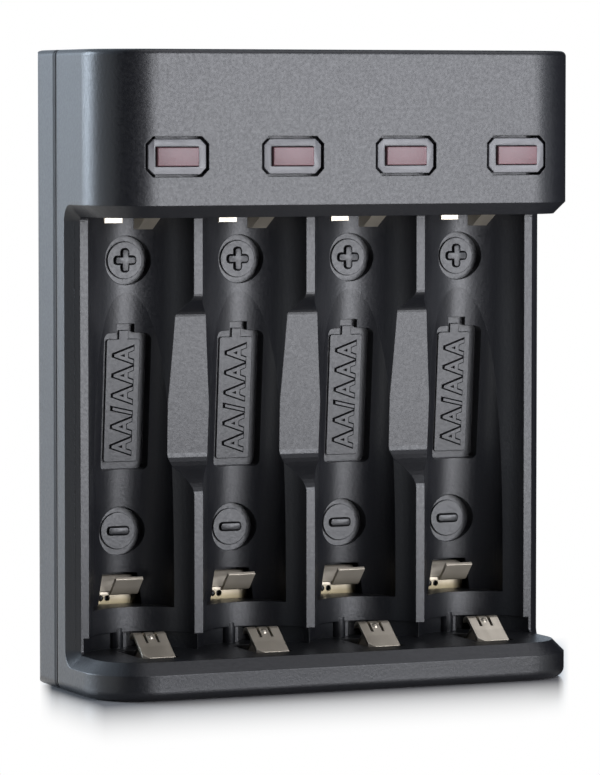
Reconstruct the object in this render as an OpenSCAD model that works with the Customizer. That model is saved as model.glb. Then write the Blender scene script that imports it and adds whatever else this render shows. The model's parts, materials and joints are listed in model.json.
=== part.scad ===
// Four-bay charger for AA and AAA cells: front shell, rear cover, contacts, board and indicators.
// X runs to the right, Y to the back, Z up; the origin is under the middle of the case.

/* [Case] */
// wall outside the outer bays
side_wall = 2; // [1.8:0.05:2.6]
// depth of the case, front face to back face
case_depth = 24; // [23.8:0.1:28]
// height of the case
case_height = 79; // [78:0.5:84]
// radius of the upright front corners
front_corner = 7.2; // [5.5:0.1:8]
// radius of the rear edges
rear_corner = 2.2; // [1:0.1:2.6]
// rounding of the top edges
top_round = 0.7; // [0.3:0.1:1]
// rounding of the bottom edges
low_round = 1.2; // [0.6:0.1:1.4]
// distance of the joint between shell and cover behind the AA axis
seam_back = 6.3; // [6:0.1:6.6]
// width of the shadow groove along the joint
seam_groove = 0.3; // [0.2:0.05:0.4]
// wall thickness of the head and of the rear cover
wall = 1.6; // [1.2:0.1:1.8]

/* [Opening] */
// height of the head's underside
roof_z = 58.6; // [58.3:0.1:59.2]
// height of the foot's top face
foot_z = 4.7; // [4.3:0.1:5.2]
// chamfer round the opening
rim_chamfer = 1.5; // [1:0.1:1.8]
// radius in the inner corners of the opening
rim_inner = 0.6; // [0.3:0.1:1]

/* [Bays] */
// gap between neighbouring AA cells
cell_gap = 0.7; // [0.6:0.05:0.9]
// width of the strip on top of a divider
divider = 1.2; // [0.9:0.05:1.4]
// diameter of an AA cell
aa_cell = 14.5; // [14.2:0.05:14.6]
// play round an AA cell
aa_play = 0.1; // [0.05:0.01:0.2]
// distance of the AA cell's axis from the inside of the rear cover
axis_back = 12.8; // [12.6:0.05:13.1]
// radius of the AAA channel
aaa_radius = 5.4; // [5.3:0.02:5.5]
// gap between the AAA channel's wall and the rear cover
cover_gap = 0.46; // [0.3:0.02:0.6]
// height at which the AAA channel leaves the AA channel
aaa_start = 49; // [47:0.5:51]
// height of the ledge under an AAA cell
ledge_z = 9.8; // [9.4:0.1:10.2]
// lower edge of the band under the ledge
band_z = 6.7; // [6.4:0.1:7.2]
// undercut below the band
band_undercut = 0.7; // [0.4:0.1:0.9]
// diameter of the post under the band
post_dia = 1.8; // [1.4:0.1:2]
// distance of the post from the middle of the bay
post_side = 1.2; // [1.1:0.05:1.4]
// wall round the channels
channel_wall = 1.7; // [1.6:0.05:1.75]

/* [Finger notches] */
// lower end of the notch
notch_low = 23.9; // [22:0.1:26]
// upper end of the notch
notch_high = 48.9; // [47:0.1:50]
// length of the lower ramp
notch_low_ramp = 5; // [3:0.1:7]
// length of the upper ramp
notch_high_ramp = 2.9; // [2:0.1:4]
// depth of the floor at its lower end
notch_low_deep = 3.7; // [3:0.1:3.9]
// depth of the floor at its upper end
notch_high_deep = 2.6; // [2:0.1:3]

/* [Pockets for signs] */
// diameter of a round pocket
sign_pocket = 6.1; // [5.6:0.1:6.4]
// diameter of the flat island in it
sign_island = 4.6; // [4.2:0.1:4.9]
// depth of the island below the channel floor
island_sink = 0.4; // [0.2:0.05:0.5]
// depth of the moat below the island
moat = 0.3; // [0.2:0.05:0.4]
// height of the upper sign
plus_z = 53; // [52:0.1:53.4]
// height of the lower sign
minus_z = 19.1; // [18.6:0.1:20]
// width of the label island
label_width = 4.45; // [4:0.05:4.8]
// lower end of the label island
label_low = 27.7; // [27:0.1:29]
// upper end of the label island
label_high = 43.1; // [42:0.1:44]
// width of the nub on the label island
nub_width = 1.25; // [1:0.05:1.6]
// height of the nub on the label island
nub_height = 1.1; // [0.8:0.1:1.4]
// width of the moat round the label island
label_moat = 0.9; // [0.6:0.05:1]

/* [Indicators] */
// height of the windows in the head, as a share of its height
window_share = 0.363; // [0.34:0.005:0.4]
// width of an indicator window
window_width = 8.2; // [7.8:0.1:8.6]
// height of an indicator window
window_height = 4.9; // [4.6:0.1:5.2]
// chamfer on the corners of a window
window_chamfer = 0.9; // [0.6:0.1:1.1]
// gap between window and bezel
bezel_gap = 0.3; // [0.2:0.05:0.35]
// depth of the bezel face behind the front face
bezel_sink = 0.15; // [0.1:0.05:0.4]
// width of a lens
lens_width = 5.4; // [5:0.1:5.7]
// height of a lens
lens_height = 2.25; // [2:0.05:2.5]
// height of the lens face over the front face
lens_proud = 0.3; // [0.1:0.05:0.4]
// play round a lens
lens_play = 0.06; // [0.03:0.01:0.1]
// thickness of the bezel carrier
carrier = 1.6; // [1.2:0.1:2]

/* [Contacts] */
// thickness of the contact sheet
sheet = 0.4; // [0.3:0.02:0.45]
// width of an AA leaf
aa_leaf_width = 4.2; // [3.8:0.1:4.4]
// distance of the AA leaf's ridge behind the AA axis
aa_ridge_back = 0.3; // [0:0.1:0.6]
// height of the AA leaf's ridge
aa_ridge_z = 7.4; // [7.2:0.1:7.8]
// distance of the AA leaf's free end before the AA axis
aa_tip_front = 3.5; // [3.2:0.1:3.8]
// height of the AA leaf's free end
aa_tip_z = 4.5; // [4.3:0.1:4.8]
// room in front of the AA leaf's free end
tip_room = 0.75; // [0.7:0.05:0.9]
// distance of the AA leaf's root behind the AA axis
aa_root_back = 4.4; // [4.1:0.1:4.6]
// width cut from the left of the AA leaf's rear leg
aa_leg_cut = 1.8; // [1.4:0.1:2]
// height of the AA leaf's pivot in its slot
aa_pivot_z = 3; // [2.8:0.1:3.2]
// width of an AAA contact
aaa_leaf_width = 3.65; // [3.4:0.05:3.9]
// gap from the middle of the AAA contact's root to the rear cover
root_gap = 0.6; // [0.55:0.01:0.7]
// height of the AAA contact's pivot in its slot
aaa_pivot_z = 9.1; // [8.9:0.1:9.3]
// room between an AA channel and the AAA contact behind it
aaa_clear = 0.25; // [0.2:0.05:0.4]
// height of the AAA contact's free end
aaa_ridge_z = 13.5; // [13.3:0.1:13.8]
// play of a contact in its slot
contact_play = 0.35; // [0.32:0.01:0.4]
// overhang of the AAA contact's root and rear arm on the left
aaa_root_left = 0.8; // [0.6:0.05:0.9]
// shift of the AAA contact's front arm to the right
aaa_shift = 0.5; // [0.3:0.05:0.6]
// overhang of the AAA contact's root plate on the right
aaa_root_side = 1.2; // [0.8:0.1:1.4]
// diameter of the holes in the AAA contact's root plate
aaa_hole = 0.7; // [0.5:0.05:0.8]
// bending radius of the contacts
bend = 0.45; // [0.4:0.02:0.5]
// sag of the crease in the AA leaf's ramp
aa_crease = 0.12; // [0.05:0.01:0.2]
// length of the AAA contact's tail below its pivot
aaa_tail = 1; // [0.8:0.1:1.1]
// reach of a positive contact in front of the AA axis
pos_front = 2.2; // [2:0.1:2.6]
// width of a positive contact
pos_width = 6.4; // [6:0.1:6.6]
// shift of a positive contact to the left of the bay's middle
pos_shift = 2.2; // [2:0.05:2.3]
// drop of the dimple on a positive contact below the head
pos_drop = 1.6; // [1.4:0.05:1.7]
// drop of the tab on a positive contact below the head
pos_lip = 0.8; // [0.6:0.05:1]
// distance of the tab behind the AA axis
pos_back = 0.9; // [0.6:0.1:1.2]
// length of the slope in front of the dimple
pos_slope = 2.9; // [2.5:0.1:3]
// drop of the leg that meets the board
pos_leg = 3; // [2.5:0.1:3.5]
// width of the tab on a positive contact
pos_tab = 2.4; // [2:0.1:2.6]
// length of the dimple with its slope
pos_run = 4.2; // [4:0.1:4.4]
// half the width of the dimple
pos_half = 1; // [0.8:0.05:1]

/* [Board and cover] */
// room behind the board
board_gap = 1.6; // [1.4:0.05:1.8]
// thickness of the board
board_thick = 1.2; // [1:0.1:1.3]
// overhang of the board beyond the outer lamps
board_edge = 0.4; // [0.2:0.05:0.6]
// height of the board's lower edge
board_low = 47; // [44:0.5:50]
// gap between the board and the cover's top wall
board_top_gap = 1.4; // [1:0.1:2.4]
// width of the charging inlet
inlet_width = 7.5; // [7.2:0.1:8]
// thickness of the charging inlet
inlet_thick = 2.7; // [2.5:0.05:2.8]
// play round the charging inlet
inlet_play = 0.3; // [0.2:0.05:0.4]
// distance of the upper screws from the sides
screw_side = 4.5; // [4.3:0.05:4.6]
// distance of the upper screws from the top
screw_drop = 4.4; // [4.3:0.05:4.8]
// height of the lower screws
screw_low_z = 13; // [11.5:0.5:16]
// diameter of a screw
screw_dia = 2; // [1.8:0.05:2.2]
// diameter of a screw head
screw_head = 3.8; // [3.4:0.1:4]
// play round a screw
screw_play = 0.1; // [0.05:0.01:0.15]
// diameter of a screw boss
boss_dia = 4.8; // [4.6:0.1:5]
// length of the cover's screw bosses
cover_boss = 2.6; // [2.2:0.1:3]
// depth of a screw's pilot hole
pilot_deep = 6; // [5:0.1:7]
// closed floor left under a pilot hole
pilot_floor = 1.2; // [1:0.1:1.4]
// room in front of a screw's tip
screw_end = 1.5; // [1.2:0.1:2]
// depth of the screw heads' seats below the back face
screw_sink = 1.5; // [1.3:0.1:1.6]

/* [Small parts] */
// width of a vent slot
vent_width = 1.2; // [0.8:0.1:1.6]
// distance between vent slots
vent_pitch = 5; // [4:0.1:6]
// height of a vent slot
vent_height = 12; // [8:0.5:14]
// wall of a light tube
tube_wall = 0.7; // [0.5:0.05:0.8]
// overhang of a lens flange
lens_flange = 0.4; // [0.3:0.05:0.5]
// thickness of a lens flange
flange_thick = 0.7; // [0.5:0.05:0.9]
// width of an indicator lamp
lamp_width = 3.2; // [2.8:0.1:3.4]
// height of an indicator lamp
lamp_height = 1.6; // [1.2:0.1:1.8]
// thickness of an indicator lamp
lamp_thick = 1; // [0.8:0.05:1.1]
// width of the charge controller
chip_width = 5; // [4:0.1:6]
// height of the charge controller
chip_height = 3; // [2.6:0.1:4]
// depth of the charging inlet
inlet_deep = 5; // [4.5:0.1:5.5]
// thickness of the tongue in the charging inlet
inlet_tongue = 0.5; // [0.4:0.05:0.6]
// wall of the charging inlet
inlet_wall = 0.3; // [0.25:0.05:0.4]
// distance of the charge controller from the board's lower edge
chip_rise = 6.5; // [5:0.1:8]
// thickness of the small parts behind the board
chip_thick = 1; // [0.8:0.05:1.2]
// width of a capacitor
capacitor_width = 3.2; // [2.8:0.1:3.6]
// height of a capacitor
capacitor_height = 2.5; // [2:0.1:3]
// distance of the capacitors from the board's upper edge
capacitor_drop = 2.5; // [1:0.1:4]
// width of a channel transistor
transistor_width = 3; // [2.6:0.1:3.2]
// height of a channel transistor
transistor_height = 1.6; // [1.3:0.1:1.8]
// distance of the capacitors from the middle
capacitor_x = 9; // [8:0.1:10]

/* [Hidden] */
$fn = 64;
bay_pitch = aa_cell + cell_gap;
case_width = 4 * bay_pitch + 2 * side_wall;
half_width = case_width / 2;
bay_x = [-1.5 * bay_pitch, -0.5 * bay_pitch, 0.5 * bay_pitch, 1.5 * bay_pitch];
aa_radius = aa_cell / 2 + aa_play;
half_mouth = (bay_pitch - divider) / 2;
rear_inner = case_depth - wall;
aa_axis = rear_inner - axis_back;
seam_depth = aa_axis + seam_back;
strip_depth = aa_axis + sqrt(aa_radius * aa_radius - half_mouth * half_mouth);
aa_floor = aa_axis + aa_radius;
aa_ridge_depth = aa_axis + aa_ridge_back;
aa_tip_depth = aa_axis - aa_tip_front;
aa_root_depth = aa_axis + aa_root_back;
aaa_lean = atan((rear_inner - channel_wall - cover_gap - aa_floor) / (aaa_start - ledge_z));
aaa_root_depth = rear_inner - root_gap;
aaa_ridge_depth = aa_floor + aaa_clear;
window_z = roof_z + window_share * (case_height - roof_z);
front_wall = wall + 0.2;
board_depth = rear_inner - board_gap - board_thick;
board_width = 3 * bay_pitch + lamp_width + 2 * board_edge;
board_high = case_height - wall - board_top_gap;
boss_end = rear_inner - cover_boss;
screw_top_x = half_width - screw_side;
screw_top_z = case_height - screw_drop;
roof_slot = pos_width / 2 + contact_play / 2;
boss_seat = case_depth - screw_sink;
hole_w = lens_width + 2 * lens_play;
hole_h = lens_height + 2 * lens_play;
bezel_w = window_width - 2 * bezel_gap;
bezel_h = window_height - 2 * bezel_gap;
carrier_back = front_wall + carrier;
carrier_half = half_width - front_corner - 0.2;
led_front = board_depth - lamp_thick;
board_back = board_depth + board_thick;
inlet_z = case_height - 0.2;
screws = [[-screw_top_x, screw_top_z], [screw_top_x, screw_top_z],
          [-bay_pitch, screw_low_z], [bay_pitch, screw_low_z]];

// depth of the AAA channel's floor at a height
function aaa_floor(z) = aa_floor + (aaa_start - z) * tan(aaa_lean);

// depth at which a screw boss leaves the front wall or the strips
function boss_start(z) = z > roof_z ? front_wall + 0.5 : strip_depth + 0.7;

// depth at which a pilot hole starts
function pilot_start(z) = max(boss_end - pilot_deep, boss_start(z) + pilot_floor);

// points on an arc
function arc(c, r, a, b, n) =
    [for (k = [0 : n]) c + r * [cos(a + (b - a) * k / n), sin(a + (b - a) * k / n)]];

// direction of a path at point i
function heading(p, i) =
    let (a = p[max(i - 1, 0)], b = p[min(i + 1, len(p) - 1)])
    (b - a) / norm(b - a);

// smooth step from 0 to 1
function ease(t) = t * t * (3 - 2 * t);

// everything is drawn from the front face; this moves it to the middle of the whole depth
module placed() {
    translate([0, (lens_proud - case_depth) / 2, 0]) children();
}

// extrudes a depth and height profile along X
module along_x(x0, x1) {
    translate([x0, 0, 0]) rotate([90, 0, 90]) linear_extrude(x1 - x0) children();
}

// extrudes a width and height profile along the depth
module along_y(d0, d1) {
    translate([0, d1, 0]) rotate([90, 0, 0]) linear_extrude(d1 - d0) children();
}

// box given by its limits
module slab(x0, x1, d0, d1, z0, z1) {
    translate([x0, d0, z0]) cube([x1 - x0, d1 - d0, z1 - z0]);
}

// round bar along the depth
module bar(x, z, dia, d0, d1) {
    translate([x, d1, z]) rotate([90, 0, 0]) cylinder(d = dia, h = d1 - d0);
}

// sheet of even thickness along a path
module band(p) {
    polygon(concat(
        [for (i = [0 : len(p) - 1]) p[i] + sheet / 2 * [-heading(p, i)[1], heading(p, i)[0]]],
        [for (i = [len(p) - 1 : -1 : 0]) p[i] - sheet / 2 * [-heading(p, i)[1], heading(p, i)[0]]]));
}

// profile of the head or the foot, from the outer face inwards; turned puts the outer face on the right
module rim_profile(head, deep, turned) {
    r = head ? top_round : low_round;
    c = rim_chamfer;
    top = case_height;
    points = head
        ? [[c, roof_z], [deep, roof_z], [deep, top], [r, top], [r, top - r], [0, top - r], [0, roof_z + c]]
        : [[0, r], [r, r], [r, 0], [deep, 0], [deep, foot_z], [c, foot_z], [0, foot_z - c]];
    polygon([for (p = points) turned ? [deep - p[0], p[1]] : p]);
    translate([turned ? deep - r : r, head ? top - r : r]) circle(r);
}

// a block that carries one profile round the front and the sides
module wrapped(head) {
    r = front_corner;
    flat = half_width - r;
    along_x(-flat, flat) rim_profile(head, seam_depth, false);
    along_y(r, seam_depth) translate([flat, 0]) rim_profile(head, r, true);
    along_y(r, seam_depth) translate([-half_width, 0]) rim_profile(head, r, false);
    translate([flat, r, 0]) rotate([0, 0, -90]) rotate_extrude(angle = 90) rim_profile(head, r, true);
    translate([-flat, r, 0]) rotate([0, 0, 180]) rotate_extrude(angle = 90) rim_profile(head, r, true);
}

// width and height outline of the case
module case_outline(inset) {
    t = top_round;
    b = low_round;
    w = half_width - inset;
    high = case_height - inset;
    translate([-w, inset + b]) square([2 * w, high - inset - b - t]);
    translate([t - w, high - t - 1]) square([2 * w - 2 * t, t + 1]);
    translate([b - w, inset]) square([2 * w - 2 * b, b + 1]);
    for (s = [-1, 1]) {
        translate([s * (w - t), high - t]) circle(t);
        translate([s * (w - b), inset + b]) circle(b);
    }
}

// rounded inner corner of the opening; it widens towards the sides with the chamfer
module rim_corner(z, up) {
    c = strip_depth - rim_inner;
    h = up ? z - rim_inner : z + rim_inner;
    big = rim_inner + rim_chamfer;
    difference() {
        slab(-half_width, half_width, c, c + big, up ? h : h - big, up ? h + big : h);
        translate([-half_width - 1, c, h]) rotate([0, 90, 0]) cylinder(r = rim_inner, h = case_width + 2);
        for (s = [-1, 1])
            translate([s * (half_width - rim_chamfer), c, h]) rotate([0, s * 90, 0])
                cylinder(r1 = rim_inner, r2 = big + 0.5, h = rim_chamfer + 0.5);
    }
}

// outer form of the front shell
module front_form() {
    wrapped(true);
    wrapped(false);
    difference() {
        along_y(strip_depth, seam_depth) case_outline(0);
        for (s = [-1, 1])
            translate([s * half_width, strip_depth, -1]) linear_extrude(case_height + 2)
                polygon([[-s * (rim_chamfer + 1), -1], [s, -1], [s, rim_chamfer + 1]]);
    }
    rim_corner(foot_z, false);
    rim_corner(roof_z, true);
}

// hollow of the head, open to the back
module head_hollow() {
    r = front_corner - front_wall;
    flat = half_width - front_corner;
    w = half_width - wall;
    translate([0, 0, roof_z + wall]) linear_extrude(case_height - roof_z - 2 * wall) {
        translate([-flat, front_wall]) square([2 * flat, seam_depth - front_wall + 1]);
        translate([-w, front_corner]) square([2 * w, seam_depth - front_corner + 1]);
        for (s = [-1, 1])
            translate([s * flat, front_corner]) circle(r);
    }
}

// places things in the leaning frame of an AAA channel; its floor is local Y 0
module leaning() {
    translate([0, aa_floor, aaa_start]) rotate([aaa_lean, 0, 0]) children();
}

// body of the channels of one bay
module channel_body() {
    intersection() {
        union() {
            translate([0, aa_axis, 0]) cylinder(r = aa_radius + channel_wall, h = case_height);
            intersection() {
                leaning() translate([0, -aaa_radius, -aaa_start])
                    cylinder(r = aaa_radius + channel_wall, h = case_height);
                slab(-bay_pitch, bay_pitch, 0, case_depth, ledge_z - channel_wall, roof_z);
            }
        }
        slab(-bay_pitch, bay_pitch, strip_depth + 0.5, rear_inner - 0.2, wall + 0.3, roof_z + wall);
    }
}

// battery-shaped outline, width and height, grown by g
module label_outline(g) {
    w = label_width / 2 + g;
    r = 0.3 + g / 2;
    low = label_low - aaa_start - g;
    high = label_high - aaa_start + g;
    translate([-w, low + r]) square([2 * w, high - low - 2 * r]);
    translate([r - w, low]) square([2 * w - 2 * r, high - low]);
    for (s = [-1, 1])
        for (z = [low + r, high - r])
            translate([s * (w - r), z]) circle(r);
    n = nub_width / 2 + g * 0.6;
    translate([-n, high - 1]) square([2 * n, nub_height + 1]);
}

// round pocket with an island, from the channel floor
module sign_cut(z, floor) {
    difference() {
        bar(0, z, sign_pocket, floor - 3, floor + island_sink + moat);
        bar(0, z, sign_island, floor + island_sink, floor + 3);
    }
}

// all cuts of one bay
module channel_cut() {
    translate([0, aa_axis, foot_z]) cylinder(r = aa_radius, h = roof_z - foot_z);
    translate([0, aa_axis, foot_z]) cylinder(r = aa_radius + band_undercut, h = band_z - foot_z);
    intersection() {
        leaning() translate([0, -aaa_radius, -aaa_start]) cylinder(r = aaa_radius, h = case_height);
        slab(-bay_pitch, bay_pitch, 0, case_depth, ledge_z, roof_z - 2);
    }
    sign_cut(plus_z, aa_floor);
    sign_cut(minus_z, aaa_floor(minus_z));
    leaning() difference() {
        along_y(-2.5, island_sink + moat) label_outline(label_moat);
        along_y(island_sink, island_sink + 2) label_outline(0);
    }
    // slot for the positive contact
    slab(-roof_slot - pos_shift, roof_slot - pos_shift, aa_axis - pos_front, case_depth,
        roof_z - 0.01, roof_z + sheet);
    // window and slot for the AAA contact
    aaa_left = aaa_leaf_width / 2 + aaa_root_left + contact_play;
    aaa_right = aaa_leaf_width / 2 + aaa_root_side + contact_play;
    aaa_top = aaa_ridge_z + contact_play;
    slab(-aaa_left, aaa_right, aaa_floor(aaa_top) - 0.5, case_depth, ledge_z, aaa_top);
    slab(-aaa_left, aaa_right, aaa_root_depth - sheet / 2 - contact_play, case_depth, 1, ledge_z + 1);
    // slot and pocket for the AA leaf
    aa_slot = aa_leaf_width / 2 + contact_play;
    slab(-aa_slot, aa_slot, aa_root_depth - sheet / 2 - contact_play,
        aa_root_depth + sheet / 2 + contact_play, wall, foot_z + 0.5);
    slab(-aa_slot, aa_slot, aa_ridge_depth - 1, aa_root_depth, aa_pivot_z + 0.4, foot_z + 0.5);
    slab(-aa_slot, aa_slot, aa_tip_depth - tip_room, aa_ridge_depth, aa_tip_z - 2.4, foot_z + 0.5);
    // opening below the band
    slab(0.2, 4, aa_floor - 2, case_depth, foot_z, band_z);
}

// one finger notch, as a cut
module notch_cut() {
    n = 10;
    hi = notch_high - notch_high_ramp;
    along_x(-bay_pitch / 2, bay_pitch / 2) polygon(concat(
        [[0, notch_low], [strip_depth - 0.01, notch_low]],
        [for (k = [1 : n])
            [strip_depth + notch_low_deep * ease(k / n), notch_low + notch_low_ramp * k / n]],
        [for (k = [0 : n])
            [strip_depth + notch_high_deep * ease(1 - k / n), hi + notch_high_ramp * k / n]],
        [[0, notch_high]]));
}

// mouth of the charging inlet, as a cut
module inlet_mouth() {
    w = inlet_width / 2 + inlet_play;
    slab(-w, w, board_depth - inlet_thick - inlet_play, board_depth + inlet_play,
        case_height - 2 * wall, case_height + 1);
}

// eight-sided window outline
module window_outline(w, h, c) {
    polygon([[-w / 2 + c, -h / 2], [w / 2 - c, -h / 2], [w / 2, -h / 2 + c], [w / 2, h / 2 - c],
             [w / 2 - c, h / 2], [-w / 2 + c, h / 2], [-w / 2, h / 2 - c], [-w / 2, -h / 2 + c]]);
}

module front_shell() {
    color([0.05, 0.05, 0.06]) placed() {
        difference() {
            union() {
                difference() {
                    front_form();
                    head_hollow();
                }
                for (x = bay_x)
                    translate([x, 0, 0]) channel_body();
                for (p = screws)
                    bar(p[0], p[1], boss_dia, boss_start(p[1]), boss_end);
            }
            for (x = bay_x) {
                translate([x, 0, 0]) channel_cut();
                translate([x, 0, window_z]) along_y(-1, front_wall + 0.5)
                    window_outline(window_width, window_height, window_chamfer);
            }
            for (k = [-1 : 1])
                translate([k * bay_pitch, 0, 0]) notch_cut();
            for (p = screws)
                bar(p[0], p[1], screw_dia + screw_play, pilot_start(p[1]), boss_end + 1);
            inlet_mouth();
        }
        // half-round post under the band of each bay
        for (x = bay_x)
            translate([x - post_side, aa_floor + band_undercut, foot_z - 0.5])
                cylinder(d = post_dia, h = band_z - foot_z + 1);
    }
}

// outline of the rear cover in depth, with rounded rear corners
module rear_profile(length) {
    r = rear_corner;
    translate([seam_depth, 0]) square([case_depth - seam_depth - r, length]);
    translate([seam_depth, r]) square([case_depth - seam_depth, length - 2 * r]);
    for (z = [r, length - r])
        translate([case_depth - r, z]) circle(r);
}

module rear_cover() {
    color([0.05, 0.05, 0.06]) placed() difference() {
        union() {
            difference() {
                intersection() {
                    union() {
                        along_y(seam_depth, seam_depth + seam_groove) case_outline(seam_groove);
                        along_y(seam_depth + seam_groove, case_depth) case_outline(0);
                    }
                    along_x(-half_width, half_width) rear_profile(case_height);
                    translate([half_width, 0, 0]) rotate([0, 0, 90]) linear_extrude(case_height)
                        rear_profile(case_width);
                }
                slab(wall - half_width, half_width - wall, 0, rear_inner, wall, case_height - wall);
            }
            for (p = screws)
                bar(p[0], p[1], boss_dia, boss_end, rear_inner + 0.5);
            // posts behind the board
            for (x = [-1, 1])
                for (z = [board_low + 3, board_high - 3])
                    bar(x * (board_width / 2 - 4), z, 3, board_back, rear_inner + 0.5);
        }
        for (p = screws) {
            bar(p[0], p[1], screw_dia + 2 * screw_play, 0, case_depth + 1);
            bar(p[0], p[1], screw_head + 2 * screw_play, boss_seat, case_depth + 1);
        }
        inlet_mouth();
        // vent slots
        for (k = [-3 : 3])
            slab(k * vent_pitch - vent_width / 2, k * vent_pitch + vent_width / 2,
                rear_inner - 1, case_depth + 1, window_z + 4 - vent_height, window_z + 4);
    }
}

module light_shield() {
    tube_w = bezel_w + 0.6;
    tube_h = bezel_h + 0.6;
    color([0.6, 0.6, 0.62]) placed() difference() {
        union() {
            slab(-carrier_half, carrier_half, front_wall, carrier_back, roof_z + wall, window_z + 3.3);
            for (x = bay_x)
                translate([x, 0, window_z]) {
                    along_y(bezel_sink, carrier_back)
                        window_outline(bezel_w, bezel_h, window_chamfer - bezel_gap * 0.4);
                    slab(-tube_w / 2, tube_w / 2, carrier_back - 0.2, led_front - 0.3,
                        -tube_h / 2, tube_h / 2);
                }
        }
        for (x = bay_x)
            translate([x, 0, window_z]) {
                slab(-hole_w / 2, hole_w / 2, -1, carrier_back + 1, -hole_h / 2, hole_h / 2);
                slab(tube_wall - tube_w / 2, tube_w / 2 - tube_wall, carrier_back, led_front + 1,
                    tube_wall - tube_h / 2, tube_h / 2 - tube_wall);
            }
    }
}

// one lens: the block in the bezel and the flange behind it
module lens(x) {
    translate([x, 0, window_z]) {
        slab(-lens_width / 2, lens_width / 2, -lens_proud, carrier_back + flange_thick,
            -lens_height / 2, lens_height / 2);
        slab(-lens_width / 2 - lens_flange, lens_width / 2 + lens_flange,
            carrier_back, carrier_back + flange_thick,
            -lens_height / 2 - lens_flange, lens_height / 2 + lens_flange);
    }
}

module lens_1() {
    color([0.8, 0.55, 0.6]) placed() lens(bay_x[0]);
}

module lens_2() {
    color([0.8, 0.55, 0.6]) placed() lens(bay_x[1]);
}

module lens_3() {
    color([0.8, 0.55, 0.6]) placed() lens(bay_x[2]);
}

module lens_4() {
    color([0.8, 0.55, 0.6]) placed() lens(bay_x[3]);
}

// one AA leaf: tail in its slot, rear leg, ridge and ramp down to the free end
module aa_contact(x) {
    w = aa_leaf_width / 2;
    up = [aa_ridge_depth, aa_ridge_z - sheet / 2];
    tip = [aa_tip_depth, aa_tip_z];
    rise = atan2(up[1] - aa_pivot_z - 0.9, aa_root_depth - up[0]);
    fall = atan2(up[1] - tip[1], up[0] - tip[0]);
    path = concat(
        [[aa_root_depth, wall + 0.3], [aa_root_depth, aa_pivot_z + 0.6],
            [aa_root_depth - 0.15, aa_pivot_z + 0.9]],
        arc(up - [0, 0.8], 0.8, 90 - rise, 90 + fall, 5),
        [tip * 0.58 + up * 0.42 + aa_crease * [0.6, 0.8], tip]);
    translate([x, 0, 0]) difference() {
        union() {
            along_x(-w, w) band(path);
            translate([0, aa_ridge_depth - 0.7, aa_ridge_z - 0.75]) sphere(r = 0.55, $fn = 32);
        }
        for (s = [-1, 1])
            slab(s * 0.75 - 0.17, s * 0.75 + 0.17, aa_ridge_depth - 1.7, aa_ridge_depth + 0.6,
                aa_pivot_z, aa_ridge_z + 1);
        slab(-w - 1, aa_leg_cut - w, aa_ridge_depth + 0.8, case_depth, 0, aa_ridge_z + 1);
        translate([-w, aa_tip_depth, 0]) linear_extrude(aa_ridge_z)
            polygon([[-1, -1], [2.2, -1], [-0.3, 0.6], [-1, 0.6]]);
    }
}

module aa_contact_1() {
    color([0.75, 0.74, 0.72]) placed() aa_contact(bay_x[0]);
}

module aa_contact_2() {
    color([0.75, 0.74, 0.72]) placed() aa_contact(bay_x[1]);
}

module aa_contact_3() {
    color([0.75, 0.74, 0.72]) placed() aa_contact(bay_x[2]);
}

module aa_contact_4() {
    color([0.75, 0.74, 0.72]) placed() aa_contact(bay_x[3]);
}

// one AAA contact: root plate with two holes, rear bend, valley and free end
module aaa_contact(x) {
    w = aaa_leaf_width / 2;
    half = (aaa_root_depth - aaa_ridge_depth) / 2;
    top = aaa_ridge_z - bend - sheet / 2;
    valley = [aaa_ridge_depth + half, aaa_ridge_z - half * 0.95 + bend];
    spring = concat(
        [[aaa_root_depth, ledge_z + 2]],
        arc([aaa_root_depth - bend, top], bend, 0, 145, 6),
        arc(valley, bend, 325, 225, 5),
        [[aaa_ridge_depth + sheet * 0.35, aaa_ridge_z - sheet * 0.35]]);
    left = -w - aaa_root_left;
    translate([x, 0, 0]) difference() {
        union() {
            along_x(left, w + aaa_shift) band(spring);
            slab(left, w + aaa_root_side, aaa_root_depth - sheet / 2, aaa_root_depth + sheet / 2,
                aaa_pivot_z - aaa_tail, ledge_z + 2.2);
        }
        slab(left - 1, aaa_shift - w, aaa_ridge_depth - 1, valley[0], ledge_z, aaa_ridge_z + 1);
        for (k = [1.3, 2.6])
            bar(left + k * aaa_hole, ledge_z + aaa_hole, aaa_hole, aaa_root_depth - 1, aaa_root_depth + 1);
    }
}

module aaa_contact_1() {
    color([0.75, 0.74, 0.72]) placed() aaa_contact(bay_x[0]);
}

module aaa_contact_2() {
    color([0.75, 0.74, 0.72]) placed() aaa_contact(bay_x[1]);
}

module aaa_contact_3() {
    color([0.75, 0.74, 0.72]) placed() aaa_contact(bay_x[2]);
}

module aaa_contact_4() {
    color([0.75, 0.74, 0.72]) placed() aaa_contact(bay_x[3]);
}

// one positive contact: plate in the roof, a bent tab, a dimple for the cell and a leg to the board
module positive_contact(x) {
    left = -pos_width / 2 - pos_shift;
    top = roof_z + sheet;
    front = aa_axis + pos_half - pos_slope;
    tab = aa_axis + pos_back;
    low = roof_z - pos_drop;
    translate([x, 0, 0]) {
        slab(left, left + pos_width, aa_axis - pos_front, board_depth, roof_z, top);
        slab(left, left + pos_tab, tab, tab + sheet, roof_z - pos_lip, top);
        along_x(-pos_half, pos_half) polygon([[front, top], [front, roof_z], [front + pos_slope, low],
            [front + pos_run, low], [front + pos_run, top]]);
        slab(left, left + pos_tab, board_depth - sheet, board_depth, roof_z - pos_leg, top);
    }
}

module positive_contact_1() {
    color([0.75, 0.74, 0.72]) placed() positive_contact(bay_x[0]);
}

module positive_contact_2() {
    color([0.75, 0.74, 0.72]) placed() positive_contact(bay_x[1]);
}

module positive_contact_3() {
    color([0.75, 0.74, 0.72]) placed() positive_contact(bay_x[2]);
}

module positive_contact_4() {
    color([0.75, 0.74, 0.72]) placed() positive_contact(bay_x[3]);
}

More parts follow.
